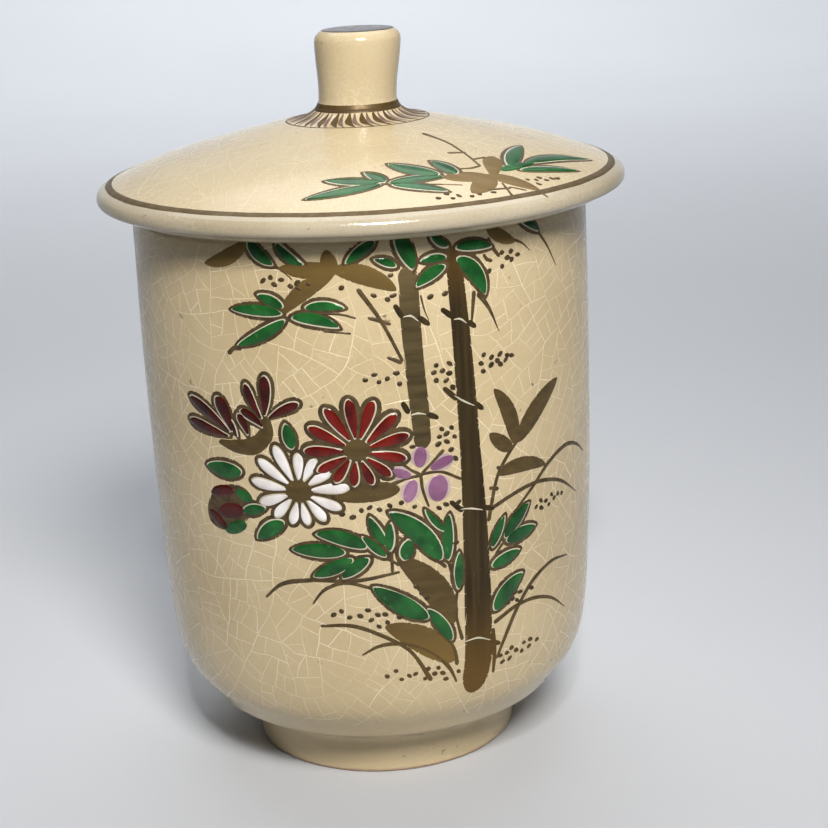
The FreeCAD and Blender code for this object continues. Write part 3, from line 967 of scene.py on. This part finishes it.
class Crackle:
    """Cracks that run until they meet another crack, as glaze crazes: wide cells first, then narrow ones."""

    CELL = 0.25         # mm of each square of the map that remembers where cracks already are
    STEP = 0.22         # mm a crack grows at a time
    FAR = 60            # steps after which a look for room ends
    LONGEST = 300       # steps after which a crack ends

    def __init__(self, low, high, inside, wraps, seed):
        self.low = np.array(low, float)
        self.size = np.array(high, float) - self.low
        self.taken = np.zeros(np.ceil(self.size / self.CELL).astype(int), bool)
        self.inside = inside
        self.wraps = wraps
        self.random = random.Random(seed)
        self.lines = []

    def _square(self, x, y):
        """The square of the map that holds a place."""
        i = int((x - self.low[0]) / self.CELL)
        return (i % self.taken.shape[0] if self.wraps else i), int((y - self.low[1]) / self.CELL)

    def _busy(self, x, y, reach):
        i, j = self._square(x, y)
        if not (0 <= i < self.taken.shape[0] and 0 <= j < self.taken.shape[1]):
            return True
        return self.taken[max(0, i - reach):i + reach + 1, max(0, j - reach):j + reach + 1].any()

    def _claim(self, x, y):
        """Marks the square and its four neighbours, so that no crack slips through a corner."""
        i, j = self._square(x, y)
        for a, b in ((i, j), (i + 1, j), (i - 1, j), (i, j + 1), (i, j - 1)):
            if 0 <= b < self.taken.shape[1] and (self.wraps or 0 <= a < self.taken.shape[0]):
                self.taken[a % self.taken.shape[0], b] = True

    def _room(self, x, y, heading):
        """How many steps there are to the next crack that way."""
        dx, dy = self.STEP * math.cos(heading), self.STEP * math.sin(heading)
        for count in range(1, self.FAR):
            x, y = x + dx, y + dy
            if self._busy(x, y, 0) or not self.inside(x, y):
                return count
        return self.FAR

    def _run(self, x, y, heading):
        """Points from a start until the crack meets another or leaves the glaze, bending and wavering."""
        points, bend, waver = [], self.random.gauss(0, 0.008), 0.0
        for _ in range(self.LONGEST):
            heading += bend
            waver = 0.88 * waver + self.random.gauss(0, 0.07)
            x += self.STEP * math.cos(heading + waver)
            y += self.STEP * math.sin(heading + waver)
            points.append((x, y))
            if not self.inside(x, y) or self._busy(x, y, 0):
                break
        return points + [(x + self.STEP * math.cos(heading), y + self.STEP * math.sin(heading))]

    def grow(self, clearance, tries):
        """Splits every cell wider than the clearance that a random try finds, across its narrowest way."""
        reach = int(clearance / self.CELL)
        for _ in range(tries):
            x = self.low[0] + self.size[0] * self.random.random()
            y = self.low[1] + self.size[1] * self.random.random()
            if not self.inside(x, y) or self._busy(x, y, reach):
                continue
            turn = self.random.uniform(0, math.pi)
            ways = [turn + i * math.pi / 9 for i in range(9)]
            heading = min(ways, key=lambda way: self._room(x, y, way) + self._room(x, y, way + math.pi))
            heading += self.random.gauss(0, 0.12)
            line = self._run(x, y, heading)[::-1] + [(x, y)] + self._run(x, y, heading + math.pi)
            for place in line:
                self._claim(*place)
            self.lines.append(np.array(line))

    def paint(self, surface, half, height, every):
        """All the cracks as thin raised lines."""
        made = Paint(surface)
        rng = random.Random(3)
        for line in self.lines:
            path = np.vstack([line[:-1:every], line[-1:]])
            made.mark(path, np.full(len(path), half * rng.uniform(0.55, 1.2)), height, across=3)
        return made


NET_FOOT = 14.2         # the cup's net of cracks ends raggedly about here, above the hip
NET_TOP = RIM - 1.2


def cup_crackle():
    """Cells with curved sides over the whole outer wall."""
    lap = 2 * math.pi * CUP_FRONT

    def inside(x, y):
        turn = 2 * math.pi * x / lap
        return NET_FOOT + math.sin(9 * turn) + 0.8 * math.sin(23 * turn + 1) < y < NET_TOP

    cracks = Crackle((0, 12), (lap, NET_TOP), inside, True, 21)
    for clearance, tries in ((6.0, 400), (3.0, 3000), (1.7, 10000), (1.1, 30000), (0.75, 40000), (0.6, 9000)):
        cracks.grow(clearance, tries)
    return cracks.paint(on_cup, 0.12, 0.018, every=4)


def lid_crackle():
    """A finer net over the dome."""
    def inside(x, y):
        return 11.8 < math.hypot(x, y) < LINE_RADIUS - 0.8

    cracks = Crackle((-39, -39), (39, 39), inside, False, 8)
    for clearance, tries in ((2.5, 1000), (1.2, 6000), (0.75, 20000)):
        cracks.grow(clearance, tries)
    return cracks.paint(on_lid, 0.06, 0.010, every=3)


# ------------------------ assembly


def make_materials():
    """One material for each colour of paint, from its dark, light and warm or pale shades."""
    return {
        "outline": gilding("outline_gilding", (0.058, 0.038, 0.017), (0.112, 0.074, 0.034),
                           (0.11, 0.07, 0.03)),
        "gold": gilding("stalk_gilding", (0.024, 0.015, 0.005), (0.060, 0.039, 0.014), (0.13, 0.070, 0.014),
                        (1.0, 1.0, 0.06)),
        "thin_gold": gilding("thin_stalk_gilding", (0.058, 0.041, 0.017), (0.108, 0.078, 0.033),
                             (0.20, 0.14, 0.06), (0.12, 0.12, 1.0)),
        "gold_leaf": gilding("leaf_gilding", (0.082, 0.054, 0.020), (0.118, 0.078, 0.028),
                             (0.23, 0.14, 0.035), (0.15, 1.0, 1.0), 0.34),
        "grass": gilding("grass_gilding", (0.060, 0.040, 0.018), (0.120, 0.080, 0.036), (0.12, 0.075, 0.02)),
        "dots": gilding("dot_gilding", (0.035, 0.022, 0.009), (0.085, 0.058, 0.026), (0.10, 0.06, 0.02)),
        "green": enamel("green_enamel", (0.004, 0.044, 0.008), (0.014, 0.108, 0.020), (0.06, 0.21, 0.06)),
        "red": enamel("red_enamel", (0.045, 0.002, 0.001), (0.165, 0.008, 0.003), (0.24, 0.03, 0.015)),
        "wine": enamel("wine_enamel", (0.020, 0.002, 0.001), (0.070, 0.006, 0.003), (0.12, 0.02, 0.01)),
        "white": enamel("white_enamel", (0.60, 0.55, 0.52), (0.74, 0.71, 0.70), (0.80, 0.79, 0.79)),
        "violet": enamel("violet_enamel", (0.17, 0.068, 0.135), (0.27, 0.13, 0.22), (0.46, 0.31, 0.42)),
        "blush": enamel("violet_blush", (0.36, 0.27, 0.26), (0.48, 0.38, 0.34), (0.52, 0.44, 0.36)),
        "halo": enamel("pale_ground", (0.42, 0.38, 0.27), (0.54, 0.50, 0.38), (0.60, 0.58, 0.48)),
    }


def show_knob_painting(materials):
    flutes, wash, bands, neck = knob_painting()
    flutes.show("knob_flutes", materials["grass"], "lid", "gilding")
    mauve = gilding("flute_wash", (0.16, 0.10, 0.085), (0.30, 0.20, 0.17), (0.2, 0.13, 0.10))
    wash.show("knob_flute_wash", mauve, "lid", "gilding")
    bands.show("knob_foot_bands", materials["outline"], "lid", "gilding")
    neck.show("knob_neck_band", materials["grass"], "lid", "gilding")
    lustre = gilding("knob_top_lustre", (0.035, 0.022, 0.016), (0.07, 0.045, 0.035), (0.05, 0.03, 0.02),
                     gloss=0.16)
    show("knob_top_disc", *knob_disc(), lustre, "lid", "gilding")


def show_crackle():
    pale = crack_line_material("cup_crackle_line", (0.67, 0.58, 0.40), (0.57, 0.465, 0.285))
    cup_crackle().show("cup_crackle", pale, "cup", "cup_glaze")
    fine = crack_line_material("lid_crackle_line", (0.62, 0.53, 0.355), (0.53, 0.435, 0.270))
    lid_crackle().show("lid_crackle", fine, "lid", "lid_glaze")


def main():
    make_camera()
    make_studio()
    materials = make_materials()
    make_pots()
    cup_plants = (bamboo_stalks, bamboo_leaves, left_branch, flowers, leaf_cluster, grass, scattered_dots,
                  back_spray)
    for body, surface, plants in (("cup", on_cup, cup_plants), ("lid", on_lid, (lid_spray,))):
        brushes = Brushes(surface)
        for plant in plants:
            plant(brushes)
        brushes.show(body, materials)
    lid_line().show("lid_gold_line", materials["grass"], "lid", "gilding")
    show_knob_painting(materials)
    show_crackle()


main()
